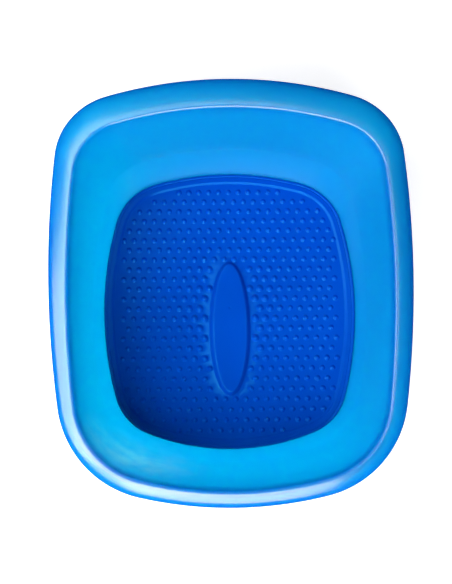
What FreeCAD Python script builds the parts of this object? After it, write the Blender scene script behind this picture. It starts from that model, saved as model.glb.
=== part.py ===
import FreeCAD, Part
import math
import os
import Sketcher

# Foot bath basin with a lift-out massage floor.
# Frame: origin on the ground under the middle of the rim, +Z up, +Y towards the broad end of the rim.

doc = FreeCAD.newDocument("foot_bath")
sheet = doc.addObject("Spreadsheet::Sheet", "Sizes")

CLOSE = 1e-3                    # lengths this near, in millimetres, count as the same

# An outline is a bulged rounded rectangle: four long arcs joined by four corner arcs, the same left and right.
OUTLINE_WORDS = ("half_width", "widest_y", "far_y", "near_y", "far_arc", "side_arc", "near_arc",
                 "far_corner", "near_corner")
OUTLINES = {
    "rim": (164.5, 40.0, 196.5, -196.5, 395.0, 980.0, 358.0, 65.0, 94.0),
    "mouth": (145.5, 20.0, 165.0, -183.0, 364.0, 960.0, 328.0, 51.0, 75.0),
    "floor": (124.5, 0.5, 136.5, -141.0, 269.0, 334.0, 217.0, 57.5, 52.5),
}

# Every other driving dimension, in millimetres.
SIZES = {
    "wall": 2.5,                # thickness of the basin's skin
    "base_z": 3.0,              # underside of the basin
    "recess_z": 6.2,            # bottom of the recess that holds the massage floor
    "floor_z": 9.5,             # top of the recess, where the wall begins
    "crest_z": 117.5,           # top of the rim
    "cove_height": 26.0,        # the wall bends in towards the floor below this height
    "cove_power": 1.25,         # 1 is a straight slope below a crease, 2 a soft curve
    "cove_side": 4.0,           # how far it curves in at the sides
    "cove_far": 15.0,
    "cove_near": 5.0,
    "wall_drop": 2.0,           # how much lower the outer skin follows the inner one
    "crest_round": 2.6,         # rounding of the rim's inner edge
    "lip_drop": 9.0,            # fall of the lip from its crest to its outer edge
    "skirt": 10.0,              # straight turned-down edge below that
    "base_round": 3.0,          # rounding under the basin's foot
    "insert_clearance": 0.4,    # gap round the massage floor
    "field_z": 8.7,             # surface that the nubs stand on
    "border_z": 10.2,           # top of the raised border
    "border_width": 9.1,
    "border_edge": 1.2,         # rounding of the border's outer edge
    "border_inner_edge": 0.7,
    "island_y": -22.5,          # middle of the raised island
    "island_half_length": 67.0,
    "island_half_width": 20.0,
    "island_slope": 4.0,        # how far its sides slope in
    "island_z": 13.6,
    "island_edge": 1.0,
    "insert_skin": 2.5,         # thickness of the massage floor over the hollow under its island
    "gate_y": -2.6,             # moulding mark on the island
    "gate_radius": 1.3,
    "gate_depth": 0.4,
    "nub_pitch": 10.0,
    "nub_rows": 25,
    "nub_middle_y": -2.6,
    "nub_reach_x": 107.0,
    "nub_radius": 2.5,
    "nub_height": 1.7,
    "nub_sunk": 0.3,            # how far a nub's dome starts inside the plate
    "nub_clearance": 0.15,      # least gap between a nub and the border
    "arch_growth": 0.38,        # how much larger the nubs under the arches of the feet are
    "arch_x": 26.0,
    "arch_y": -6.0,
    "arch_reach_x": 30.0,
    "arch_reach_y": 66.0,
    "foot_radius": 9.0,
    "foot_seat": 1.2,           # depth of a foot's socket
    "foot_play": 0.1,           # gap round a foot in its socket
    "foot_edge": 0.6,
    "foot_x": 82.0,
    "foot_far_y": 92.0,
    "foot_near_y": -96.0,
}


def fill_sheet():
    row = 1
    named = [(f"{outline}_{word}", value)
             for outline, values in OUTLINES.items()
             for word, value in zip(OUTLINE_WORDS, values)]
    for alias, value in named + list(SIZES.items()):
        sheet.set(f"A{row}", alias)
        sheet.set(f"B{row}", str(value))
        sheet.setAlias(f"B{row}", alias)
        row += 1
    doc.recompute()


def size(alias):
    return float(sheet.get(alias))


def value_of(expression):
    """Number that an expression over the sheet gives, as the sketches' starting shape."""
    return float(sheet.evalExpression(expression.replace("Sizes.", "")))


def outline_words(start, end, share, grow="0", inset=None):
    """Expression for each dimension of the outline that lies a share of the way from one outline to another,
    then grown outwards; inset holds extra inward moves at the side, far end and near end."""
    blend = {word: f"Sizes.{start}_{word} * (1 - ({share})) + Sizes.{end}_{word} * ({share})"
             for word in OUTLINE_WORDS}
    inset = inset or {}
    for word in OUTLINE_WORDS:
        if word == "widest_y":
            continue
        sign = "-" if word == "near_y" else "+"
        blend[word] = f"{blend[word]} {sign} ({grow})"
    for word, expression in inset.items():
        blend[word] = f"{blend[word]} + ({expression})"
    return blend


def corner_centre(centre_a, radius_a, centre_b, radius_b, corner):
    """Centre of the corner arc on the right that touches two larger arcs from inside."""
    reach_a, reach_b = radius_a - corner, radius_b - corner
    line = centre_b - centre_a
    along = (reach_a ** 2 - reach_b ** 2 + line.Length ** 2) / (2 * line.Length)
    across = math.sqrt(reach_a ** 2 - along ** 2)
    step = line / line.Length
    side = FreeCAD.Vector(-step.y, step.x, 0) * across
    middle = centre_a + step * along
    return max((middle + side, middle - side), key=lambda point: point.x)


def touch_angle(centre, point):
    return math.atan2(point.y - centre.y, point.x - centre.x)


def arc(centre, radius, start, end):
    while end <= start:
        end += 2 * math.pi
    circle = Part.Circle(centre, FreeCAD.Vector(0, 0, 1), radius)
    return Part.ArcOfCircle(circle, start, end)


def outline_arcs(number):
    """Eight arcs, anticlockwise from the right side, for the given dimensions."""
    far = FreeCAD.Vector(0, number["far_y"] - number["far_arc"], 0)
    near = FreeCAD.Vector(0, number["near_y"] + number["near_arc"], 0)
    right = FreeCAD.Vector(number["half_width"] - number["side_arc"], number["widest_y"], 0)
    far_right = corner_centre(far, number["far_arc"], right, number["side_arc"], number["far_corner"])
    near_right = corner_centre(near, number["near_arc"], right, number["side_arc"], number["near_corner"])

    def mirrored(point):
        return FreeCAD.Vector(-point.x, point.y, 0)

    left, far_left, near_left = mirrored(right), mirrored(far_right), mirrored(near_right)
    ring = [(right, "side_arc"), (far_right, "far_corner"), (far, "far_arc"), (far_left, "far_corner"),
            (left, "side_arc"), (near_left, "near_corner"), (near, "near_arc"), (near_right, "near_corner")]
    # A corner arc is inside both of its neighbours, so it meets each along the line of centres.
    joints = []
    for index, (centre, _) in enumerate(ring):
        following = ring[(index + 1) % len(ring)][0]
        big, small = (centre, following) if index % 2 == 0 else (following, centre)
        joints.append(touch_angle(big, small))
    arcs = []
    for index, (centre, word) in enumerate(ring):
        arcs.append(arc(centre, number[word], joints[index - 1], joints[index]))
    return arcs


def attach(sketch, body, height, plane="XY_Plane"):
    planes = {feature.Role: feature for feature in body.Origin.OriginFeatures}
    sketch.AttachmentSupport = [(planes[plane], "")]
    sketch.MapMode = "FlatFace"
    sketch.setExpression("AttachmentOffset.Base.z", height)


def outline_sketch(body, name, height, words):
    """Sketch of one outline at a height, every dimension bound to the sheet."""
    sketch = body.newObject("Sketcher::SketchObject", name)
    attach(sketch, body, height)
    number = {word: value_of(expression) for word, expression in words.items()}
    sketch.addGeometry(outline_arcs(number), False)
    start, end, centre = 1, 2, 3
    for index in range(8):
        sketch.addConstraint(Sketcher.Constraint("Tangent", index, end, (index + 1) % 8, start))
    radius_words = {0: "side_arc", 1: "far_corner", 2: "far_arc", 3: "far_corner",
                    4: "side_arc", 5: "near_corner", 6: "near_arc", 7: "near_corner"}
    for index, word in radius_words.items():
        bind(sketch, Sketcher.Constraint("Radius", index, number[word]), f"radius_{index}", words[word])
    places = {
        (0, "x"): f"{words['half_width']} - ({words['side_arc']})",
        (4, "x"): f"{words['side_arc']} - ({words['half_width']})",
        (2, "y"): f"{words['far_y']} - ({words['far_arc']})",
        (6, "y"): f"{words['near_y']} + ({words['near_arc']})",
        (0, "y"): words["widest_y"],
        (4, "y"): words["widest_y"],
    }
    for (index, direction), expression in places.items():
        kind = "DistanceX" if direction == "x" else "DistanceY"
        constraint = Sketcher.Constraint(kind, -1, 1, index, centre, value_of(expression))
        bind(sketch, constraint, f"centre_{direction}_{index}", expression)
    for index in (2, 6):
        sketch.addConstraint(Sketcher.Constraint("PointOnObject", index, centre, -2))
    return sketch


def bind(sketch, constraint, name, expression):
    index = sketch.addConstraint(constraint)
    sketch.renameConstraint(index, name)
    sketch.setExpression(f"Constraints.{name}", expression)


def add_loft(body, kind, name, sketches, ruled=False):
    loft = body.newObject(f"PartDesign::{kind}", name)
    loft.Profile = sketches[0]
    loft.Sections = sketches[1:]
    loft.Ruled = ruled
    body.Tip = loft
    return loft


# Heights of the sections that shape the cove, as shares of its own height.
COVE_LEVELS = [f"Sizes.cove_height * {share}" for share in ("0", "0.2", "0.4", "0.6", "0.8", "1")]


def wall_words(level, grow="0"):
    """Outline of the basin's inner skin at a height above the recess."""
    share = f"({level}) / (Sizes.crest_z - Sizes.floor_z)"
    # The wall is straight above the cove, and bends in below it.
    bend = f"max(0; 1 - ({level}) / Sizes.cove_height) ^ Sizes.cove_power"
    inset = {
        "half_width": f"Sizes.cove_side * (1 - ({share}) - {bend})",
        "far_y": f"Sizes.cove_far * (1 - ({share}) - {bend})",
        "near_y": f"-Sizes.cove_near * (1 - ({share}) - {bend})",
    }
    return outline_words("floor", "mouth", share, grow, inset)


def lip_words(angle, grow="0"):
    """Outline of the lip where its elliptical fall from crest to edge has turned by an angle."""
    return outline_words("mouth", "rim", f"cos({angle})", grow)


def lip_stack(body, name, lowered, grow):
    """Closed dome under the lip's top surface: a straight skirt, then the elliptical fall up to the crest."""
    angles = (0, 18, 36, 54, 72, 90)
    edge_z = f"Sizes.crest_z - Sizes.lip_drop - {lowered}"
    rim = lip_words(0, grow)
    skirt = [outline_sketch(body, f"{name}_skirt_low", "Sizes.crest_z - Sizes.lip_drop - Sizes.skirt", rim),
             outline_sketch(body, f"{name}_skirt_top", edge_z, rim)]
    dome = [outline_sketch(body, f"{name}_at_{angle}", f"{edge_z} + Sizes.lip_drop * sin({angle})",
                           lip_words(angle, grow if angle < 90 else "0"))
            for angle in angles]
    return skirt, dome


def make_basin():
    body = doc.addObject("PartDesign::Body", "basin")
    body.Label = "basin"
    skirt, dome = lip_stack(body, "lip", "0", "0")
    add_loft(body, "AdditiveLoft", "lip_skirt", skirt, ruled=True)
    add_loft(body, "AdditiveLoft", "lip_top", dome)
    skirt, dome = lip_stack(body, "hollow", "Sizes.wall", "-Sizes.wall")
    add_loft(body, "SubtractiveLoft", "hollow_skirt", skirt, ruled=True)
    add_loft(body, "SubtractiveLoft", "hollow_top", dome)

    # Outer skin: a quarter-round foot, then the wall's line up into the lip.
    foot_sketches = [outline_sketch(body, f"outer_foot_{angle}",
                                    f"Sizes.base_z + Sizes.base_round * (1 - cos({angle}))",
                                    wall_words("0", f"Sizes.wall - Sizes.base_round * (1 - sin({angle}))"))
                     for angle in (0, 45, 90)]
    add_loft(body, "AdditiveLoft", "outer_foot", foot_sketches)
    outer = [outline_sketch(body, "outer_at_0", "Sizes.base_z + Sizes.base_round", wall_words("0", "Sizes.wall"))]
    outer += [outline_sketch(body, f"outer_at_{index}", f"Sizes.floor_z - Sizes.wall_drop + {level}",
                             wall_words(level, "Sizes.wall"))
              for index, level in enumerate(COVE_LEVELS[1:], 1)]
    add_loft(body, "AdditiveLoft", "outer_cove", outer)
    outer_top = "Sizes.crest_z - Sizes.wall / 2"
    top_level = f"{outer_top} - Sizes.floor_z + Sizes.wall_drop"
    outer_wall = [outer[-1], outline_sketch(body, "outer_top", outer_top, wall_words(top_level, "Sizes.wall"))]
    add_loft(body, "AdditiveLoft", "outer_wall", outer_wall, ruled=True)

    # Inner skin: the recess for the massage floor, the cove and wall, and the rounded crest.
    recess = [outline_sketch(body, "recess_low", "Sizes.recess_z", wall_words("0")),
              outline_sketch(body, "recess_top", "Sizes.floor_z", wall_words("0"))]
    add_loft(body, "SubtractiveLoft", "recess", recess, ruled=True)
    crest_level = "Sizes.crest_z - Sizes.floor_z - Sizes.crest_round"
    inner = [outline_sketch(body, f"inner_at_{index}", f"Sizes.floor_z + {level}", wall_words(level))
             for index, level in enumerate(COVE_LEVELS)]
    add_loft(body, "SubtractiveLoft", "inner_cove", inner)
    inner_wall = [inner[-1], outline_sketch(body, "inner_top", f"Sizes.floor_z + {crest_level}",
                                            wall_words(crest_level))]
    add_loft(body, "SubtractiveLoft", "inner_wall", inner_wall, ruled=True)
    crest = [outline_sketch(body, f"crest_at_{angle}",
                            f"Sizes.crest_z - Sizes.crest_round * (1 - sin({angle}))",
                            wall_words(crest_level, f"Sizes.crest_round * (1 - cos({angle}))"))
             for angle in (0, 30, 60, 90)]
    add_loft(body, "SubtractiveLoft", "crest", crest)

    sockets = body.newObject("Sketcher::SketchObject", "socket_circles")
    attach(sockets, body, "Sizes.base_z")
    foot_circles(sockets, "Sizes.foot_radius + Sizes.foot_play")
    pocket = body.newObject("PartDesign::Pocket", "sockets")
    pocket.Profile = sockets
    pocket.setExpression("Length", "Sizes.foot_seat")
    pocket.Reversed = True
    body.Tip = pocket
    return body


FEET = {"foot_front_left": (-1, "near"), "foot_front_right": (1, "near"),
        "foot_rear_left": (-1, "far"), "foot_rear_right": (1, "far")}


def foot_circles(sketch, radius):
    for index, (side, end) in enumerate(FEET.values()):
        place = {"x": f"{side} * Sizes.foot_x", "y": f"Sizes.foot_{end}_y"}
        centre = FreeCAD.Vector(value_of(place["x"]), value_of(place["y"]), 0)
        sketch.addGeometry(Part.Circle(centre, FreeCAD.Vector(0, 0, 1), value_of(radius)), False)
        bind(sketch, Sketcher.Constraint("Radius", index, value_of(radius)), f"radius_{index}", radius)
        for direction in ("X", "Y"):
            expression = place[direction.lower()]
            bind(sketch, Sketcher.Constraint(f"Distance{direction}", -1, 1, index, 3, value_of(expression)),
                 f"{direction.lower()}_{index}", expression)


def make_foot(name, side, end):
    """Rubber foot: a short disc with its lower edge rounded, at its own place under the base."""
    body = doc.addObject("PartDesign::Body", name)
    body.Label = name
    disc = body.newObject("PartDesign::AdditiveCylinder", f"{name}_disc")
    disc.setExpression("Radius", "Sizes.foot_radius")
    disc.setExpression("Height", "Sizes.base_z + Sizes.foot_seat")
    body.Tip = disc
    doc.recompute()
    edges = [f"Edge{number}" for number, edge in enumerate(disc.Shape.Edges, 1)
             if edge.Closed and edge.BoundBox.ZMax < value_of("base_z")]
    rounding = body.newObject("PartDesign::Fillet", f"{name}_edge")
    rounding.Base = (disc, edges)
    rounding.setExpression("Radius", "Sizes.foot_edge")
    body.Tip = rounding
    body.setExpression("Placement.Base.x", f"{side} * Sizes.foot_x")
    body.setExpression("Placement.Base.y", f"Sizes.foot_{end}_y")
    return body


def ellipse_sketch(body, name, height, grow):
    sketch = body.newObject("Sketcher::SketchObject", name)
    attach(sketch, body, height)
    half_length = f"Sizes.island_half_length + ({grow})"
    half_width = f"Sizes.island_half_width + ({grow})"
    centre = FreeCAD.Vector(0, size("island_y"), 0)
    tip = centre + FreeCAD.Vector(0, value_of(half_length), 0)
    flank = centre + FreeCAD.Vector(-value_of(half_width), 0, 0)
    sketch.addGeometry(Part.Ellipse(tip, flank, centre), False)
    sketch.exposeInternalGeometry(0)
    long_axis, short_axis = 1, 2
    bind(sketch, Sketcher.Constraint("Distance", long_axis, 2 * value_of(half_length)), "length",
         f"2 * ({half_length})")
    bind(sketch, Sketcher.Constraint("Distance", short_axis, 2 * value_of(half_width)), "width",
         f"2 * ({half_width})")
    bind(sketch, Sketcher.Constraint("DistanceY", -1, 1, 0, 3, size("island_y")), "middle", "Sizes.island_y")
    sketch.addConstraint(Sketcher.Constraint("PointOnObject", 0, 3, -2))
    sketch.addConstraint(Sketcher.Constraint("Vertical", long_axis))
    return sketch


def edges_at(shape, height):
    """Names of the edges that lie flat at a height."""
    return [f"Edge{number}" for number, edge in enumerate(shape.Edges, 1)
            if abs(edge.BoundBox.ZMin - height) < CLOSE and abs(edge.BoundBox.ZMax - height) < CLOSE]


def make_insert_plate():
    """Massage floor without its nubs: plate, raised border and raised island."""
    body = doc.addObject("PartDesign::Body", "insert_plate")
    body.Label = "insert_plate"
    outer_words = wall_words("0", "-Sizes.insert_clearance")
    blank = body.newObject("PartDesign::Pad", "blank")
    blank.Profile = outline_sketch(body, "blank_outline", "Sizes.recess_z", outer_words)
    blank.setExpression("Length", "Sizes.border_z - Sizes.recess_z")
    body.Tip = blank
    doc.recompute()
    rounding = body.newObject("PartDesign::Fillet", "border_outer_edge")
    rounding.Base = (blank, edges_at(blank.Shape, value_of("border_z")))
    rounding.setExpression("Radius", "Sizes.border_edge")
    body.Tip = rounding
    field_words = wall_words("0", "-Sizes.insert_clearance - Sizes.border_width")
    field = body.newObject("PartDesign::Pocket", "field")
    field.Profile = outline_sketch(body, "field_outline", "Sizes.border_z", field_words)
    field.setExpression("Length", "Sizes.border_z - Sizes.field_z")
    body.Tip = field
    doc.recompute()
    inner_edge = body.newObject("PartDesign::Chamfer", "border_inner_edge")
    inside = [name for name in edges_at(field.Shape, value_of("border_z"))
              if runs_along(field.Shape.getElement(name), doc.field_outline.Shape)]
    inner_edge.Base = (field, inside)
    inner_edge.setExpression("Size", "Sizes.border_inner_edge")
    body.Tip = inner_edge
    island = add_loft(body, "AdditiveLoft", "island",
                      [ellipse_sketch(body, "island_foot", "Sizes.field_z", "0"),
                       ellipse_sketch(body, "island_top", "Sizes.island_z", "-Sizes.island_slope")], ruled=True)
    doc.recompute()
    top_edge = body.newObject("PartDesign::Fillet", "island_edge")
    top_edge.Base = (island, edges_at(island.Shape, value_of("island_z")))
    top_edge.setExpression("Radius", "Sizes.island_edge")
    body.Tip = top_edge
    add_loft(body, "SubtractiveLoft", "island_hollow",
             [ellipse_sketch(body, "hollow_foot", "Sizes.recess_z", "-Sizes.insert_skin"),
              ellipse_sketch(body, "hollow_top", "Sizes.island_z - Sizes.insert_skin",
                             "-Sizes.island_slope - Sizes.insert_skin")], ruled=True)
    mark = body.newObject("Sketcher::SketchObject", "gate_circle")
    attach(mark, body, "Sizes.island_z")
    mark.addGeometry(Part.Circle(FreeCAD.Vector(0, size("gate_y"), 0), FreeCAD.Vector(0, 0, 1),
                                 size("gate_radius")), False)
    bind(mark, Sketcher.Constraint("Radius", 0, size("gate_radius")), "radius", "Sizes.gate_radius")
    bind(mark, Sketcher.Constraint("DistanceY", -1, 1, 0, 3, size("gate_y")), "middle", "Sizes.gate_y")
    mark.addConstraint(Sketcher.Constraint("PointOnObject", 0, 3, -2))
    gate = body.newObject("PartDesign::Pocket", "gate_mark")
    gate.Profile = mark
    gate.setExpression("Length", "Sizes.gate_depth")
    body.Tip = gate
    return body


def runs_along(edge, outline):
    middle = edge.valueAt((edge.FirstParameter + edge.LastParameter) / 2)
    return outline.distToShape(Part.Vertex(middle))[0] < CLOSE


def nub_places():
    """Staggered lattice of nubs inside the border and clear of the island, each with its own scale."""
    field = Part.Face(Part.Wire(doc.field_outline.Shape.Edges))
    height = field.BoundBox.ZMin
    radius, pitch = size("nub_radius"), size("nub_pitch")
    half = int(size("nub_rows")) // 2
    places = []
    for row in range(-half, half + 1):
        y = size("nub_middle_y") + row * pitch
        stagger = 0.5 * (row % 2)
        for column in range(-half, half):
            x = (column + stagger) * pitch
            centre = FreeCAD.Vector(x, y, height)
            if abs(x) > size("nub_reach_x") or not field.isInside(centre, CLOSE, True):
                continue
            if field.OuterWire.distToShape(Part.Vertex(centre))[0] < radius + size("nub_clearance"):
                continue
            across = x / (size("island_half_width") + radius)
            along = (y - size("island_y")) / (size("island_half_length") + radius)
            if across ** 2 + along ** 2 < 1:
                continue
            off_x = (abs(x) - size("arch_x")) / size("arch_reach_x")
            off_y = (y - size("arch_y")) / size("arch_reach_y")
            growth = size("arch_growth") * max(0.0, 1 - off_x ** 2 - off_y ** 2)
            places.append((x, y, 1 + growth))
    return places


def dome(x, y, scale):
    """Spherical cap that starts a little inside the plate."""
    radius, height = size("nub_radius") * scale, size("nub_height") * scale
    sunk = size("nub_sunk")
    ball = (radius ** 2 + height ** 2) / (2 * height)
    centre = FreeCAD.Vector(x, y, size("field_z") + height - ball)
    lowest = math.degrees(math.asin((ball - height - sunk) / ball))
    return Part.makeSphere(ball, centre, FreeCAD.Vector(0, 0, 1), lowest, 90, 360)


def make_insert():
    plate = make_insert_plate()
    doc.recompute()
    nubs = [dome(*place) for place in nub_places()]
    print("nubs", len(nubs))
    feature = doc.addObject("Part::Feature", "massage_insert")
    feature.Label = "massage_insert"
    feature.Shape = plate.Shape.fuse(nubs)
    return feature


def check(features):
    for feature in doc.Objects:
        if "Invalid" in feature.State or "Error" in feature.State:
            raise RuntimeError(f"{feature.Label}: {feature.State}")
    for feature in features:
        shape = feature.Shape
        if shape.isNull() or not shape.isValid() or len(shape.Solids) != 1:
            raise RuntimeError(f"{feature.Label}: bad shape, {len(shape.Solids)} solids")
        box = shape.BoundBox
        print(f"{feature.Label}: {shape.Volume / 1000:.1f} cm3, "
              f"{box.XLength:.1f} x {box.YLength:.1f} x {box.ZLength:.1f} mm, {len(shape.Faces)} faces")


fill_sheet()
pieces = [make_basin(), make_insert()]
pieces += [make_foot(name, side, end) for name, (side, end) in FEET.items()]
doc.recompute()
check(pieces)
os.makedirs("parts", exist_ok=True)
for piece in pieces:
    piece.Shape.exportStep(f"parts/{piece.Label}.step")
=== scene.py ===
import math

import bmesh
import bpy
from mathutils import Matrix, Vector


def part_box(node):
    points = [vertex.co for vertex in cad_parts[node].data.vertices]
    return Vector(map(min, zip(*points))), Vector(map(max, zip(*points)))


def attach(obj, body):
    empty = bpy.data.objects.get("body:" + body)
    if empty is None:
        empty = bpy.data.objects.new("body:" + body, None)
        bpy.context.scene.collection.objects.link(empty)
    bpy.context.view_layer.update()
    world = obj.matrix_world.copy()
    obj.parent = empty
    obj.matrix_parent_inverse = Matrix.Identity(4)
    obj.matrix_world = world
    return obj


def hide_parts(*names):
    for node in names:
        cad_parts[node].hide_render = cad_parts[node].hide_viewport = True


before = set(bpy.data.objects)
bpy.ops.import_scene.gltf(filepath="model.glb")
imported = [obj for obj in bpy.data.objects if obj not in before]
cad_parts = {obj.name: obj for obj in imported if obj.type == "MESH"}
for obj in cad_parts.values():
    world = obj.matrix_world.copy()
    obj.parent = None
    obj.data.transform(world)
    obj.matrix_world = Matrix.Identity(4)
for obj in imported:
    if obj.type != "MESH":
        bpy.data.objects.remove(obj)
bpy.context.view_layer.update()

MM = 0.001

# Places that the frame gives, in metres.
RIM_LOW, RIM_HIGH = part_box("basin")
INSERT_LOW, INSERT_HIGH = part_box("massage_insert")
BASE_Z = RIM_LOW.z
CREST_Z = RIM_HIGH.z
RECESS_Z = INSERT_LOW.z

# Outline: a bulged rounded rectangle of four long arcs and four corner arcs, in millimetres.
# Half width, where it is widest, far end, near end, then the radii of the far, side and near arcs and of
# the far and near corners.
RIM = (RIM_HIGH.x / MM, 40.0, RIM_HIGH.y / MM, RIM_LOW.y / MM, 395.0, 980.0, 358.0, 65.0, 94.0)
MOUTH = (145.5, 20.0, 165.0, -183.0, 364.0, 960.0, 328.0, 51.0, 75.0)
FLOOR = (124.5, 0.5, 136.5, -141.0, 269.0, 334.0, 217.0, 57.5, 52.5)
HALF_WIDTH, WIDEST_Y, FAR_Y, NEAR_Y = range(4)
STEPS = {"side": 34, "far_corner": 26, "far": 40, "near_corner": 28, "near": 36}

# Basin, in mm. Rounded edges are pairs of (outwards, upwards), in the order in which the skin runs.
WALL = 2.5
FLOOR_Z = 9.5                     # the wall begins here, in mm over the ground
WALL_START = 0.35                 # lowest row of the wall over that
LIP_DROP, SKIRT = 9.0, 10.0
CREST_ROUND = 2.6
CREST_EASE = 0.03                 # how far the crest's own row lies under the CAD's top
COVE_HEIGHT, COVE_POWER, COVE_SIDE, COVE_FAR, COVE_NEAR = 26.0, 1.25, 4.0, 15.0, 5.0
WALL_DROP, BASE_ROUND = 2.0, 3.0
OUTER_TOP = 6.0                   # the outer skin's top row, under the start of the crest's rounding
OUTER_FOOT = 1.5                  # its lowest row, over the height FLOOR_Z - WALL_DROP
RECESS_FOOT = ((-1.2, 0.0), (-0.35, 0.12), (0.0, 0.8))
RECESS_BRINK = ((0.0, -0.5), (0.1, -0.15))
SKIRT_EDGE = ((0.0, 6.0), (0.0, 1.2), (-0.25, 0.45), (-0.9, 0.0),
              (0.7 - WALL, 0.0), (0.1 - WALL, 0.4), (-WALL, 1.2), (-WALL, 4.5))
UNDER_LIP = ((2.2, -0.1), (1.2, -0.5), (0.4, -1.4), (0.0, -3.0))
LIP_OUTSIDE = (77, *range(72, -1, -6))              # degrees, down the lip's outer skin
LIP_INSIDE = (0, 8, 16, 26, 36, 46, 56, 64, 70)     # degrees, up its inner skin

# Massage floor, in mm.
INSERT_GAP = 0.4
INSERT_FOOT = ((-0.8, 0.0), (-0.2, 0.25), (0.0, 0.8))
FIELD_Z, BORDER_Z, BORDER_WIDTH = 8.7, 10.2, 9.1
BORDER_ROLL = 1.2                 # rounding of the border's outer edge
BORDER_SLOPE = 3.4                # width of the soft slope from the border down to the field
SLOPE_ON_BORDER = 0.55            # share of the slope that lies within the border's width
LINE_IN = 3.0                     # from the border's outer edge to the fine line on it
LINE_SECTION = ((0.75, 0.0), (0.4, -0.22), (0.1, -0.4), (-0.2, -0.4), (-0.5, -0.22), (-0.85, 0.0))
ISLAND_Y, ISLAND_LENGTH, ISLAND_WIDTH, ISLAND_SLOPE = -22.5, 67.0, 20.0, 4.0
ISLAND_Z = INSERT_HIGH.z / MM
ISLAND_FLARE, ISLAND_ROUND = 0.8, 0.6               # beyond its foot, and in from its top edge
ISLAND_CROWN = 0.25               # how far the top falls from its middle to its edge
ISLAND_SWELL = 0.8                # under 1, the slope is steeper near its foot
ISLAND_SPREAD_X, ISLAND_SPREAD_Y = 95.0, 60.0       # even out the mesh between island and border
GATE_Y = -2.6
GATE_SECTION = ((0.7, -0.45), (1.15, -0.3), (1.3, 0.5))     # radius, and height over the island
NUB_PITCH, NUB_MIDDLE_Y, NUB_REACH_X, NUB_RADIUS, NUB_HEIGHT = 10.0, -2.6, 107.0, 2.5, 1.7
NUB_ROWS = 12                     # rows, and columns, tried each way from the middle
NUB_CLEARANCE = 0.15              # least gap between a nub and the border
NUB_FLARE = 1.2                   # a nub's foot as a multiple of its nominal radius
NUB_SUNK, NUB_LIFT = 0.4, 0.02    # its closed foot under the field, its dome's start over it
INSERT_SKIN = 2.5                 # thickness over the hollow under the island
HOLLOW_BELOW = 0.5                # how far the cutting shape reaches out under the floor
HOLLOW_ROOF = ((-0.5, -0.2), (-1.2, 0.0))
ARCH_GROWTH, ARCH_X, ARCH_Y, ARCH_REACH_X, ARCH_REACH_Y = 0.38, 26.0, -6.0, 30.0, 66.0

# Rubber feet, in mm.
PAD_ROUND = ((-0.4, 0.0), (0.0, -0.4))              # at the top edge
PAD_FOOT = ((0.0, 0.7), (-0.15, 0.3), (-0.6, 0.0))
PAD_CENTRE = 1.2                  # radius of the flat middle underneath
GRIP_GROOVES = (6.3, 3.6)         # radii of the two grooves
GROOVE_SECTION = ((0.75, 0.0), (0.5, 0.4), (-0.5, 0.4), (-0.75, 0.0))

# Turned shapes: how many flats go round them.
NUB_FLATS, GATE_FLATS, PAD_FLATS, HOLLOW_FLATS = 20, 24, 48, 96


# ---------------------------------------------------------------- outlines

def blend(first, second, share):
    return tuple(a + (b - a) * share for a, b in zip(first, second))


def grow(dims, by):
    """The outline moved outwards by a distance: every radius and reach changes by as much."""
    return tuple(value if index == WIDEST_Y else value - by if index == NEAR_Y else value + by
                 for index, value in enumerate(dims))


def wall_outline(level, by=0.0):
    """The basin's inner skin at a height over the wall's foot; low down it curves in to the floor."""
    share = level / (CREST_Z / MM - FLOOR_Z)
    bend = max(0.0, 1 - level / COVE_HEIGHT) ** COVE_POWER
    dims = list(blend(FLOOR, MOUTH, share))
    straight = 1 - share - bend
    dims[HALF_WIDTH] += COVE_SIDE * straight
    dims[FAR_Y] += COVE_FAR * straight
    dims[NEAR_Y] -= COVE_NEAR * straight
    return grow(dims, by)


def corner_centre(centre_a, radius_a, centre_b, radius_b, corner):
    """Centre of the corner arc on the right that touches two larger arcs from inside."""
    reach_a, reach_b = radius_a - corner, radius_b - corner
    line = centre_b - centre_a
    along = (reach_a ** 2 - reach_b ** 2 + line.length_squared) / (2 * line.length)
    across = math.sqrt(reach_a ** 2 - along ** 2)
    step = line.normalized()
    side = Vector((-step.y, step.x)) * across
    middle = centre_a + step * along
    return max((middle + side, middle - side), key=lambda point: point.x)


def outline_points(dims, z):
    """Ring of points in metres, anticlockwise from the bottom of the right-hand side."""
    half_width, widest_y, far_y, near_y, far_arc, side_arc, near_arc, far_corner, near_corner = dims
    far = Vector((0, far_y - far_arc))
    near = Vector((0, near_y + near_arc))
    right = Vector((half_width - side_arc, widest_y))
    far_right = corner_centre(far, far_arc, right, side_arc, far_corner)
    near_right = corner_centre(near, near_arc, right, side_arc, near_corner)
    left, far_left, near_left = (Vector((-point.x, point.y)) for point in (right, far_right, near_right))
    ring = [(right, side_arc, "side"), (far_right, far_corner, "far_corner"), (far, far_arc, "far"),
            (far_left, far_corner, "far_corner"), (left, side_arc, "side"),
            (near_left, near_corner, "near_corner"), (near, near_arc, "near"),
            (near_right, near_corner, "near_corner")]
    joints = []
    for index, (centre, _, _) in enumerate(ring):
        following = ring[(index + 1) % len(ring)][0]
        # The larger arc's centre and the corner's centre are in line with the point where they meet.
        line = following - centre if index % 2 == 0 else centre - following
        joints.append(math.atan2(line.y, line.x))
    points = []
    for index, (centre, radius, word) in enumerate(ring):
        start, end = joints[index - 1], joints[index]
        while end <= start:
            end += 2 * math.pi
        for step in range(STEPS[word]):
            angle = start + (end - start) * step / STEPS[word]
            x = centre.x + radius * math.cos(angle)
            y = centre.y + radius * math.sin(angle)
            points.append(Vector((x, y, z)) * MM)
    return points


# ---------------------------------------------------------------- mesh helpers

def new_object(name, mesh):
    piece = bpy.data.objects.new(name, mesh)
    bpy.context.scene.collection.objects.link(piece)
    return piece


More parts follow.
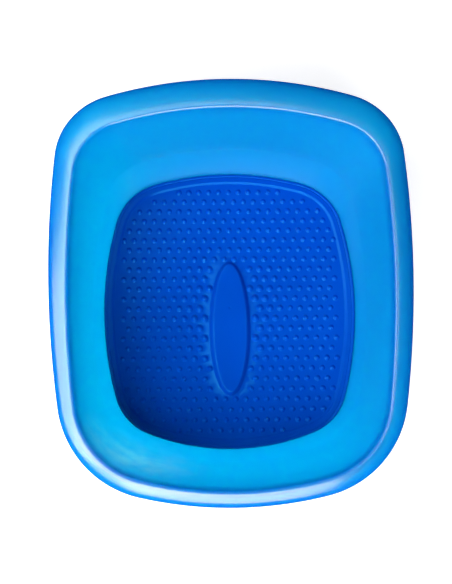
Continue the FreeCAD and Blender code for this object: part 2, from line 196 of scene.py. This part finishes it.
def smooth(mesh, sharp_over):
    mesh.polygons.foreach_set("use_smooth", [True] * len(mesh.polygons))
    mesh.set_sharp_from_angle(angle=math.radians(sharp_over))


def lofted(name, rings):
    """Mesh through rings of equal length, anticlockwise; each end closes on its own middle point.

    The faces point outwards where the section runs up the outside and over the top. Where it runs the other
    way, as the basin's and the feet's do, they point inwards.
    """
    count = len(rings[0])
    vertices = [point for ring in rings for point in ring]
    faces = []
    for row in range(len(rings) - 1):
        for column in range(count):
            right = (column + 1) % count
            low, high = row * count, (row + 1) * count
            faces.append((low + column, low + right, high + right, high + column))
    for ring_index in (0, len(rings) - 1):
        vertices.append(sum(rings[ring_index], Vector()) / count)
        middle, base = len(vertices) - 1, ring_index * count
        for column in range(count):
            right = (column + 1) % count
            if ring_index == 0:
                faces.append((base + right, base + column, middle))
            else:
                faces.append((base + column, base + right, middle))
    mesh = bpy.data.meshes.new(name)
    mesh.from_pydata(vertices, [], faces)
    mesh.update()
    return mesh


def shrunk_rings(points, shares):
    """Smaller copies of a flat ring, drawn in towards its middle."""
    middle = sum(points, Vector()) / len(points)
    return [[middle + (point - middle) * share for point in points] for share in shares]


def circle(flats):
    """Points (x, y) of a circle of radius 1."""
    turns = [2 * math.pi * step / flats for step in range(flats)]
    return [(math.cos(turn), math.sin(turn)) for turn in turns]


def turned_rings(profile, centre, flats):
    """Rings of a turned shape from (radius, z) pairs in mm."""
    return [[Vector((centre[0] + radius * x, centre[1] + radius * y, z)) * MM for x, y in circle(flats)]
            for radius, z in profile]


def steps(count, first=0.0, last=1.0):
    return [first + (last - first) * index / count for index in range(count + 1)]


def eased(share):
    """0 to 1 with a level start and a level end."""
    return 0.5 - 0.5 * math.cos(math.pi * share)


# ---------------------------------------------------------------- basin

def lip_rows(lowered, by, angles):
    """Rows of the lip's elliptical fall; 90 degrees is the crest, 0 the outer edge."""
    top = CREST_Z / MM - LIP_DROP - lowered
    rows = []
    for angle in angles:
        share = math.cos(math.radians(angle))
        rows.append((blend(MOUTH, grow(RIM, by), share), top + LIP_DROP * math.sin(math.radians(angle))))
    return rows


def basin_rows():
    """Outlines with their heights in mm: from inside the recess, over the lip, to under the base."""
    crest = CREST_Z / MM
    recess = RECESS_Z / MM
    rows = [(wall_outline(0, out), recess + up) for out, up in RECESS_FOOT]
    rows += [(wall_outline(0, out), FLOOR_Z + up) for out, up in RECESS_BRINK]
    rows += [(wall_outline(level), FLOOR_Z + level) for level in steps(14, WALL_START, COVE_HEIGHT)]
    crest_level = crest - FLOOR_Z - CREST_ROUND
    rows += [(wall_outline(level), FLOOR_Z + level) for level in steps(7, COVE_HEIGHT, crest_level)[1:]]
    for angle in (15, 30, 45, 60, 75):
        turn = math.radians(angle)
        rows.append((wall_outline(crest_level, CREST_ROUND * (1 - math.cos(turn))),
                     crest - CREST_ROUND * (1 - math.sin(turn))))
    rows.append((grow(MOUTH, CREST_ROUND), crest - CREST_EASE))
    rows += lip_rows(0, 0, LIP_OUTSIDE)
    skirt_low = crest - LIP_DROP - SKIRT
    rows += [(grow(RIM, out), skirt_low + up) for out, up in SKIRT_EDGE]
    rows += lip_rows(WALL, -WALL, LIP_INSIDE)
    under = crest - WALL
    lowest = FLOOR_Z - WALL_DROP
    rows += [(wall_outline(under + up - lowest, WALL + out), under + up) for out, up in UNDER_LIP]
    outside = steps(6, crest_level - OUTER_TOP, COVE_HEIGHT) + steps(12, COVE_HEIGHT, OUTER_FOOT)[1:]
    rows += [(wall_outline(level, WALL), lowest + level) for level in outside]
    foot_z = BASE_Z / MM
    for angle in (0, 20, 40, 60, 80, 90):
        turn = math.radians(angle)
        rows.append((wall_outline(0, WALL - BASE_ROUND * (1 - math.cos(turn))),
                     foot_z + BASE_ROUND * (1 - math.sin(turn))))
    return rows


def make_basin():
    rings = [outline_points(dims, z) for dims, z in basin_rows()]
    inside = shrunk_rings(rings[0], (0.15, 0.4, 0.7, 0.9))
    below = shrunk_rings(rings[-1], (0.985, 0.9, 0.7, 0.4, 0.15))
    mesh = lofted("basin_shell", inside + rings + below)
    smooth(mesh, sharp_over=50)
    piece = new_object("basin_shell", mesh)
    piece.data.materials.append(basin_plastic())
    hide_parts("basin")
    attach(piece, "basin")


# ---------------------------------------------------------------- massage floor

def ellipse_ring(reference, grow_by, z):
    """Ring round the island's middle with one point for each point of a larger ring."""
    middle = Vector((0, ISLAND_Y))
    points = []
    for point in reference:
        line = Vector((point.x, point.y)) / MM - middle
        angle = math.atan2(line.y / (ISLAND_LENGTH + ISLAND_SPREAD_Y),
                           line.x / (ISLAND_WIDTH + ISLAND_SPREAD_X))
        points.append(Vector(((ISLAND_WIDTH + grow_by) * math.cos(angle),
                              ISLAND_Y + (ISLAND_LENGTH + grow_by) * math.sin(angle), z)) * MM)
    return points


def border_rows():
    """The border's section from under its outer edge, over the fine line, down to the field."""
    edge = wall_outline(0, -INSERT_GAP)
    low = RECESS_Z / MM
    rows = [(grow(edge, out), low + up) for out, up in INSERT_FOOT]
    for angle in (0, 18, 36, 54, 72, 90):
        turn = math.radians(angle)
        rows.append((grow(edge, -BORDER_ROLL * (1 - math.cos(turn))),
                     BORDER_Z - BORDER_ROLL * (1 - math.sin(turn))))
    rows += [(grow(edge, -LINE_IN + out), BORDER_Z + up) for out, up in LINE_SECTION]
    rows += [(grow(edge, -BORDER_WIDTH * share), BORDER_Z) for share in (0.5, 0.7)]
    for share in steps(8):
        rows.append((grow(edge, -BORDER_WIDTH + BORDER_SLOPE * (SLOPE_ON_BORDER - share)),
                     BORDER_Z - (BORDER_Z - FIELD_Z) * eased(share)))
    return rows


def insert_rings():
    """Border, field and island as one run of rings."""
    rings = [outline_points(dims, z) for dims, z in border_rows()]
    field = rings[-1]
    foot = ellipse_ring(field, ISLAND_FLARE, FIELD_Z)
    rings += [[a.lerp(b, share) for a, b in zip(field, foot)] for share in (0.2, 0.5, 0.8)]
    rings.append(foot)
    rise = ISLAND_Z - ISLAND_CROWN - FIELD_Z
    for share in steps(12, 0.08, 1.0):
        inwards = (ISLAND_FLARE + ISLAND_SLOPE + ISLAND_ROUND) * share
        lift = rise * eased(share ** ISLAND_SWELL)
        rings.append(ellipse_ring(field, ISLAND_FLARE - inwards, FIELD_Z + lift))
    top = ellipse_ring(field, -ISLAND_ROUND - ISLAND_SLOPE, ISLAND_Z)
    middle_y = ISLAND_Y * MM
    for share in (0.93, 0.8, 0.6, 0.35, 0.12):
        z = (ISLAND_Z - ISLAND_CROWN * share ** 2) * MM
        rings.append([Vector((point.x * share, middle_y + (point.y - middle_y) * share, z))
                      for point in top])
    return rings


def nub_places():
    """Staggered lattice inside the border and clear of the island, each place with its own scale."""
    limit = outline_points(wall_outline(0, -INSERT_GAP - BORDER_WIDTH - NUB_RADIUS - NUB_CLEARANCE), 0)

    def inside(x, y):
        crossings = 0
        for a, b in zip(limit, limit[1:] + limit[:1]):
            if (a.y > y * MM) != (b.y > y * MM):
                crossings += x * MM < a.x + (b.x - a.x) * (y * MM - a.y) / (b.y - a.y)
        return crossings % 2 == 1

    places = []
    for row in range(-NUB_ROWS, NUB_ROWS + 1):
        y = NUB_MIDDLE_Y + row * NUB_PITCH
        for column in range(-NUB_ROWS, NUB_ROWS):
            x = (column + 0.5 * (row % 2)) * NUB_PITCH
            across = x / (ISLAND_WIDTH + NUB_RADIUS)
            along = (y - ISLAND_Y) / (ISLAND_LENGTH + NUB_RADIUS)
            if abs(x) > NUB_REACH_X or across ** 2 + along ** 2 < 1 or not inside(x, y):
                continue
            off_x = (abs(x) - ARCH_X) / ARCH_REACH_X
            off_y = (y - ARCH_Y) / ARCH_REACH_Y
            places.append((x, y, 1 + ARCH_GROWTH * max(0.0, 1 - off_x ** 2 - off_y ** 2)))
    return places


def nub_mesh(places):
    """All nubs as closed domes: soft round tops that flare out at the foot."""
    joined = bmesh.new()
    start = FIELD_Z + NUB_LIFT
    for x, y, scale in places:
        reach, height = NUB_RADIUS * scale * NUB_FLARE, NUB_HEIGHT * scale
        profile = [(reach, FIELD_Z - NUB_SUNK), (reach, start)]
        for share in (0.84, 0.68, 0.54, 0.4, 0.26, 0.12):
            profile.append((reach * share, start + height * (1 - share ** 2) ** 1.5))
        mesh = lofted("nub", turned_rings(profile, (x, y), NUB_FLATS))
        joined.from_mesh(mesh)
        bpy.data.meshes.remove(mesh)
    mesh = bpy.data.meshes.new("nubs")
    joined.to_mesh(mesh)
    joined.free()
    return mesh


def island_hollow():
    """Closed cup that hollows the island from below, with a rounded roof."""
    low = RECESS_Z / MM
    roof = ISLAND_Z - INSERT_SKIN

    def ring(out, z):
        width, length = ISLAND_WIDTH + out, ISLAND_LENGTH + out
        return [Vector((width * x, ISLAND_Y + length * y, z)) * MM for x, y in circle(HOLLOW_FLATS)]

    rings = [ring(-INSERT_SKIN, low - HOLLOW_BELOW), ring(-INSERT_SKIN, low)]
    for share in (0.3, 0.6, 0.85):
        rings.append(ring(-INSERT_SKIN - ISLAND_SLOPE * share, low + (roof - low) * share))
    rings += [ring(-INSERT_SKIN - ISLAND_SLOPE + out, roof + up) for out, up in HOLLOW_ROOF]
    return lofted("hollow", rings + shrunk_rings(rings[-1], (0.8, 0.5, 0.2)))


def gate_mark():
    """Turned plug that presses the moulding gate's small round mark into the island."""
    profile = [(radius, ISLAND_Z + up) for radius, up in GATE_SECTION]
    return lofted("mark", turned_rings(profile, (0, GATE_Y), GATE_FLATS))


def apply_boolean(piece, mesh, operation):
    other = new_object(mesh.name, mesh)
    modifier = piece.modifiers.new("shape", "BOOLEAN")
    modifier.operation = operation
    modifier.solver = "MANIFOLD"
    modifier.object = other
    bpy.context.view_layer.update()
    evaluated = piece.evaluated_get(bpy.context.evaluated_depsgraph_get())
    shaped = bpy.data.meshes.new_from_object(evaluated)
    piece.modifiers.clear()
    piece.data = shaped
    bpy.data.objects.remove(other)


def make_insert():
    piece = new_object("massage_floor", lofted("massage_floor", insert_rings()))
    apply_boolean(piece, island_hollow(), "DIFFERENCE")
    apply_boolean(piece, nub_mesh(nub_places()), "UNION")
    apply_boolean(piece, gate_mark(), "DIFFERENCE")
    smooth(piece.data, sharp_over=32)
    piece.data.name = "massage_floor"
    piece.data.materials.clear()
    piece.data.materials.append(insert_plastic())
    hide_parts("massage_insert")
    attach(piece, "massage_floor")


# ---------------------------------------------------------------- rubber feet

def make_feet():
    """Each foot is a turned pad with rounded edges and two shallow grip grooves underneath."""
    rubber = foot_rubber()
    for node in [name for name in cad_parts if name.startswith("foot_")]:
        low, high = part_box(node)
        centre = ((low.x + high.x) / 2 / MM, (low.y + high.y) / 2 / MM)
        radius, bottom, top = (high.x - low.x) / 2 / MM, low.z / MM, high.z / MM
        profile = [(radius + out, top + up) for out, up in PAD_ROUND]
        profile += [(radius + out, bottom + up) for out, up in PAD_FOOT]
        for groove in GRIP_GROOVES:
            profile += [(groove + out, bottom + up) for out, up in GROOVE_SECTION]
        profile.append((PAD_CENTRE, bottom))
        mesh = lofted(node + "_pad", turned_rings(profile, centre, PAD_FLATS))
        mesh.flip_normals()       # the section runs down the outside
        smooth(mesh, sharp_over=40)
        piece = new_object(node + "_pad", mesh)
        piece.data.materials.append(rubber)
        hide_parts(node)
        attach(piece, "basin")


# ---------------------------------------------------------------- materials

def material(name):
    made = bpy.data.materials.new(name)
    made.use_nodes = True
    nodes, links = made.node_tree.nodes, made.node_tree.links
    return made, nodes, links, nodes["Principled BSDF"]


def noise(nodes, links, coordinates, scale, detail=4.0, stretch=(1, 1, 1)):
    mapping = nodes.new("ShaderNodeMapping")
    mapping.inputs["Scale"].default_value = stretch
    links.new(coordinates.outputs["Object"], mapping.inputs["Vector"])
    texture = nodes.new("ShaderNodeTexNoise")
    texture.inputs["Scale"].default_value = scale
    texture.inputs["Detail"].default_value = detail
    links.new(mapping.outputs["Vector"], texture.inputs["Vector"])
    return texture.outputs["Fac"]


def ramp(nodes, links, source, stops):
    node = nodes.new("ShaderNodeValToRGB")
    elements = node.color_ramp.elements
    for element, (position, colour) in zip(elements, stops):
        element.position = position
        element.color = (*colour, 1)
    links.new(source, node.inputs["Fac"])
    return node.outputs["Color"]


def math_node(nodes, links, operation, first, second):
    node = nodes.new("ShaderNodeMath")
    node.operation = operation
    for socket, value in zip(node.inputs, (first, second)):
        if isinstance(value, (int, float)):
            socket.default_value = value
        else:
            links.new(value, socket)
    return node.outputs["Value"]


def bump(nodes, links, height, strength, distance, previous=None):
    node = nodes.new("ShaderNodeBump")
    node.inputs["Strength"].default_value = strength
    node.inputs["Distance"].default_value = distance
    links.new(height, node.inputs["Height"])
    if previous is not None:
        links.new(previous, node.inputs["Normal"])
    return node.outputs["Normal"]


def grey(value):
    return (value, value, value)


def spot(nodes, links, coordinates, middle, reach):
    """Soft blot: 1 at its middle, 0 from its reach outwards, in the object's own coordinates."""
    mapping = nodes.new("ShaderNodeMapping")
    mapping.inputs["Location"].default_value = [-place / size for place, size in zip(middle, reach)]
    mapping.inputs["Scale"].default_value = [1 / size for size in reach]
    links.new(coordinates.outputs["Object"], mapping.inputs["Vector"])
    ball = nodes.new("ShaderNodeTexGradient")
    ball.gradient_type = "QUADRATIC_SPHERE"
    links.new(mapping.outputs["Vector"], ball.inputs["Vector"])
    return ball.outputs["Fac"]


def facing_side(nodes, links, coordinates, direction, least):
    """1 where the surface faces a direction in the object's own coordinates, else 0."""
    facing = nodes.new("ShaderNodeVectorMath")
    facing.operation = "DOT_PRODUCT"
    links.new(coordinates.outputs["Normal"], facing.inputs[0])
    facing.inputs[1].default_value = direction
    return math_node(nodes, links, "GREATER_THAN", facing.outputs["Value"], least)


def painted_wall_sheen(nodes, links, place):
    """Painted sheen: a mottled pale reflection painted into the colour of the wall at the near left, only
    on the skin that faces the water.
    """
    blot = spot(nodes, links, place, middle=(-0.088, -0.146, 0.075), reach=(0.085, 0.05, 0.07))
    cloud = noise(nodes, links, place, scale=45.0)
    mottle = ramp(nodes, links, cloud, [(0.35, grey(0.35)), (0.65, grey(1.0))])
    sheen_strength = math_node(nodes, links, "MULTIPLY", math_node(nodes, links, "MULTIPLY", blot, mottle), 0.8)
    # Inside the basin the wall's normal points away from the near left corner.
    inner_skin = facing_side(nodes, links, place, direction=(0.5, 0.8, 0.33), least=0.1)
    return math_node(nodes, links, "MULTIPLY", sheen_strength, inner_skin)


def basin_plastic():
    """Azure polypropylene that lets light through: glossy, with a faint ripple and fine scuffs."""
    made, nodes, links, shader = material("azure_polypropylene")
    place = nodes.new("ShaderNodeTexCoord")
    cloud = noise(nodes, links, place, scale=9.0, detail=5.0)
    colour = ramp(nodes, links, cloud, [(0.3, (0.0, 0.097, 0.475)), (0.7, (0.0, 0.107, 0.515))])
    # Painted sheen: the pale colour below is mixed over the azure on the near left inner wall, as a
    # reflection painted into the colour.
    mix = nodes.new("ShaderNodeMix")
    mix.data_type = "RGBA"
    links.new(painted_wall_sheen(nodes, links, place), mix.inputs["Factor"])
    links.new(colour, mix.inputs["A"])
    mix.inputs["B"].default_value = (1.0, 0.3, 0.5, 1)
    links.new(mix.outputs["Result"], shader.inputs["Base Color"])
    scuff = noise(nodes, links, place, scale=260.0, detail=5.0, stretch=(1.0, 0.35, 2.2))
    roughness = ramp(nodes, links, scuff, [(0.3, grey(0.2)), (0.7, grey(0.25))])
    links.new(roughness, shader.inputs["Roughness"])
    shader.inputs["Subsurface Weight"].default_value = 0.9
    shader.inputs["Subsurface Radius"].default_value = (0.1, 1.0, 1.0)
    shader.inputs["Subsurface Scale"].default_value = 0.035
    shader.inputs["IOR"].default_value = 1.49
    ripple = noise(nodes, links, place, scale=38.0, detail=2.0)
    peel = noise(nodes, links, place, scale=900.0, detail=2.0)
    rippled = bump(nodes, links, ripple, strength=0.06, distance=0.002)
    peeled = bump(nodes, links, peel, strength=0.02, distance=0.0002, previous=rippled)
    links.new(peeled, shader.inputs["Normal"])
    return made


def insert_plastic():
    """Deep blue soft plastic with a satin, finely grained surface."""
    made, nodes, links, shader = material("deep_blue_soft_plastic")
    place = nodes.new("ShaderNodeTexCoord")
    cloud = noise(nodes, links, place, scale=14.0, detail=5.0)
    colour = ramp(nodes, links, cloud, [(0.3, (0.0, 0.050, 0.39)), (0.7, (0.0, 0.057, 0.43))])
    links.new(colour, shader.inputs["Base Color"])
    wear = noise(nodes, links, place, scale=120.0, detail=6.0)
    roughness = ramp(nodes, links, wear, [(0.3, grey(0.13)), (0.75, grey(0.18))])
    links.new(roughness, shader.inputs["Roughness"])
    shader.inputs["IOR"].default_value = 1.45
    shader.inputs["Specular IOR Level"].default_value = 0.25
    shader.inputs["Specular Tint"].default_value = (0.03, 0.5, 1.0, 1)
    shader.inputs["Subsurface Weight"].default_value = 0.15
    shader.inputs["Subsurface Radius"].default_value = (0.1, 0.3, 1.0)
    shader.inputs["Subsurface Scale"].default_value = 0.004
    grain = noise(nodes, links, place, scale=1800.0, detail=3.0)
    links.new(bump(nodes, links, grain, strength=0.04, distance=0.0001), shader.inputs["Normal"])
    return made


def foot_rubber():
    made, nodes, links, shader = material("dark_blue_rubber")
    place = nodes.new("ShaderNodeTexCoord")
    dust = noise(nodes, links, place, scale=220.0, detail=6.0)
    colour = ramp(nodes, links, dust, [(0.35, (0.006, 0.012, 0.035)), (0.8, (0.022, 0.034, 0.07))])
    links.new(colour, shader.inputs["Base Color"])
    roughness = ramp(nodes, links, dust, [(0.3, grey(0.62)), (0.8, grey(0.82))])
    links.new(roughness, shader.inputs["Roughness"])
    grain = noise(nodes, links, place, scale=2400.0, detail=3.0)
    links.new(bump(nodes, links, grain, strength=0.25, distance=0.0001), shader.inputs["Normal"])
    return made


def floor_paint():
    """Nearly white paint that glows a little, as a lit studio sweep does."""
    made, nodes, links, shader = material("studio_floor")
    place = nodes.new("ShaderNodeTexCoord")
    cloud = noise(nodes, links, place, scale=3.0)
    colour = ramp(nodes, links, cloud, [(0.3, grey(0.92)), (0.7, grey(0.94))])
    links.new(colour, shader.inputs["Base Color"])
    shader.inputs["Roughness"].default_value = 0.9
    shader.inputs["Emission Color"].default_value = (1, 1, 1, 1)
    shader.inputs["Emission Strength"].default_value = 0.55
    return made


# ---------------------------------------------------------------- stage, light and camera

# Lengths in metres, angles in degrees, power in watts. Bearings run anticlockwise from +X.
FLOOR_REACH = 3.0
WARM = (1.0, 0.9, 0.5)
GLOSS_DISTANCE, KEY_DISTANCE, KEY_SIZE = 1.3, 1.4, 0.8
# Softboxes that only reflect: bearing, rise, width, height, power.
GLOSS_BOXES = ((138, 62, 0.7, 0.6, 2.6), (190, 44, 0.95, 1.05, 30), (228, 46, 0.95, 1.05, 20),
               (268, 43, 0.95, 1.25, 44))
# High strips that draw the line along the lip's crest, reflected only: x and y, width, depth, power.
STRIP_Z = 1.9
GLOSS_STRIPS = {"far": ((-0.18, 0.91), 0.9, 0.26, 4.5), "right": ((0.55, 0.22), 0.26, 0.95, 7),
                "left": ((-0.64, 0.35), 0.54, 1.3, 14)}
# Softboxes that only light and aren't reflected: bearing, rise, power.
KEY_BOXES = ((170, 47, 9), (225, 43, 20), (280, 40, 15))
TOP_PLACE, TOP_SIZE, TOP_POWER = (0.1, 0.1, 1.9), 1.6, 1
ROOM_COLOUR, ROOM_STRENGTH = (0.97, 0.98, 1.0, 1), 0.12

CAMERA_TILT, CAMERA_TURN, CAMERA_ROLL = 12.19, -0.79, -0.64
CAMERA_AIM = Vector((-0.0035, 0.0138, 0.0095))
CAMERA_DISTANCE = 1.0119
CAMERA_LENS, CAMERA_SENSOR = 62.8089, 36.0          # mm


def make_floor():
    corners = [(x * FLOOR_REACH, y * FLOOR_REACH, 0) for x, y in ((-1, -1), (1, -1), (1, 1), (-1, 1))]
    mesh = bpy.data.meshes.new("studio_floor")
    mesh.from_pydata(corners, [], [(0, 1, 2, 3)])
    piece = new_object("studio_floor", mesh)
    mesh.materials.append(floor_paint())
    piece.visible_glossy = False


def area_light(name, place, aim, size, power, colour=(1, 1, 1)):
    data = bpy.data.lights.new(name, "AREA")
    data.shape = "RECTANGLE"
    data.size, data.size_y = size
    data.energy = power
    data.color = colour
    light = new_object(name, data)
    light.location = place
    light.rotation_euler = (Vector(aim) - Vector(place)).to_track_quat("-Z", "Y").to_euler()
    return light


def place_round(bearing, rise, distance):
    """Point at a bearing, an angle over the horizon and a distance from the middle of the basin."""
    bearing, rise = math.radians(bearing), math.radians(rise)
    level = distance * math.cos(rise)
    return (level * math.cos(bearing), level * math.sin(bearing), 0.1 + distance * math.sin(rise))


def make_lights():
    for index, (bearing, rise, width, height, power) in enumerate(GLOSS_BOXES):
        place = place_round(bearing, rise, GLOSS_DISTANCE)
        gloss = area_light(f"gloss_box_{index}", place, (0, 0, 0.1), (width, height), power, WARM)
        gloss.visible_diffuse = False
    for name, (place, width, depth, power) in GLOSS_STRIPS.items():
        strip = area_light(f"{name}_strip", (*place, STRIP_Z), (*place, 0), (width, depth), power, WARM)
        strip.visible_diffuse = False
    for index, (bearing, rise, power) in enumerate(KEY_BOXES):
        place = place_round(bearing, rise, KEY_DISTANCE)
        key = area_light(f"key_box_{index}", place, (0, 0, 0.08), (KEY_SIZE, KEY_SIZE), power)
        key.visible_glossy = False
    top = area_light("top_box", TOP_PLACE, (0, 0, 0), (TOP_SIZE, TOP_SIZE), TOP_POWER)
    top.visible_glossy = False
    world = bpy.data.worlds.new("studio")
    bpy.context.scene.world = world
    world.use_nodes = True
    background = world.node_tree.nodes["Background"]
    background.inputs["Color"].default_value = ROOM_COLOUR
    background.inputs["Strength"].default_value = ROOM_STRENGTH
    world.cycles_visibility.glossy = False


def make_camera():
    """Nearly overhead, seen a little from the narrow end."""
    tilt, turn, roll = (math.radians(angle) for angle in (CAMERA_TILT, CAMERA_TURN, CAMERA_ROLL))
    level = math.cos(turn)
    back = Vector((math.sin(turn), -math.sin(tilt) * level, math.cos(tilt) * level)).normalized()
    right = Vector((0, 1, 0)).cross(back).normalized()
    up = back.cross(right)
    rolled_right = right * math.cos(roll) + up * math.sin(roll)
    rolled_up = up * math.cos(roll) - right * math.sin(roll)
    data = bpy.data.cameras.new("camera")
    data.sensor_width = CAMERA_SENSOR
    data.lens = CAMERA_LENS
    camera = new_object("camera", data)
    turned = Matrix((rolled_right, rolled_up, back)).transposed().to_4x4()
    camera.matrix_world = Matrix.Translation(CAMERA_AIM + back * CAMERA_DISTANCE) @ turned
    bpy.context.scene.camera = camera


bpy.context.scene.view_settings.view_transform = "Standard"
make_camera()
make_floor()
make_lights()
make_basin()
make_insert()
make_feet()
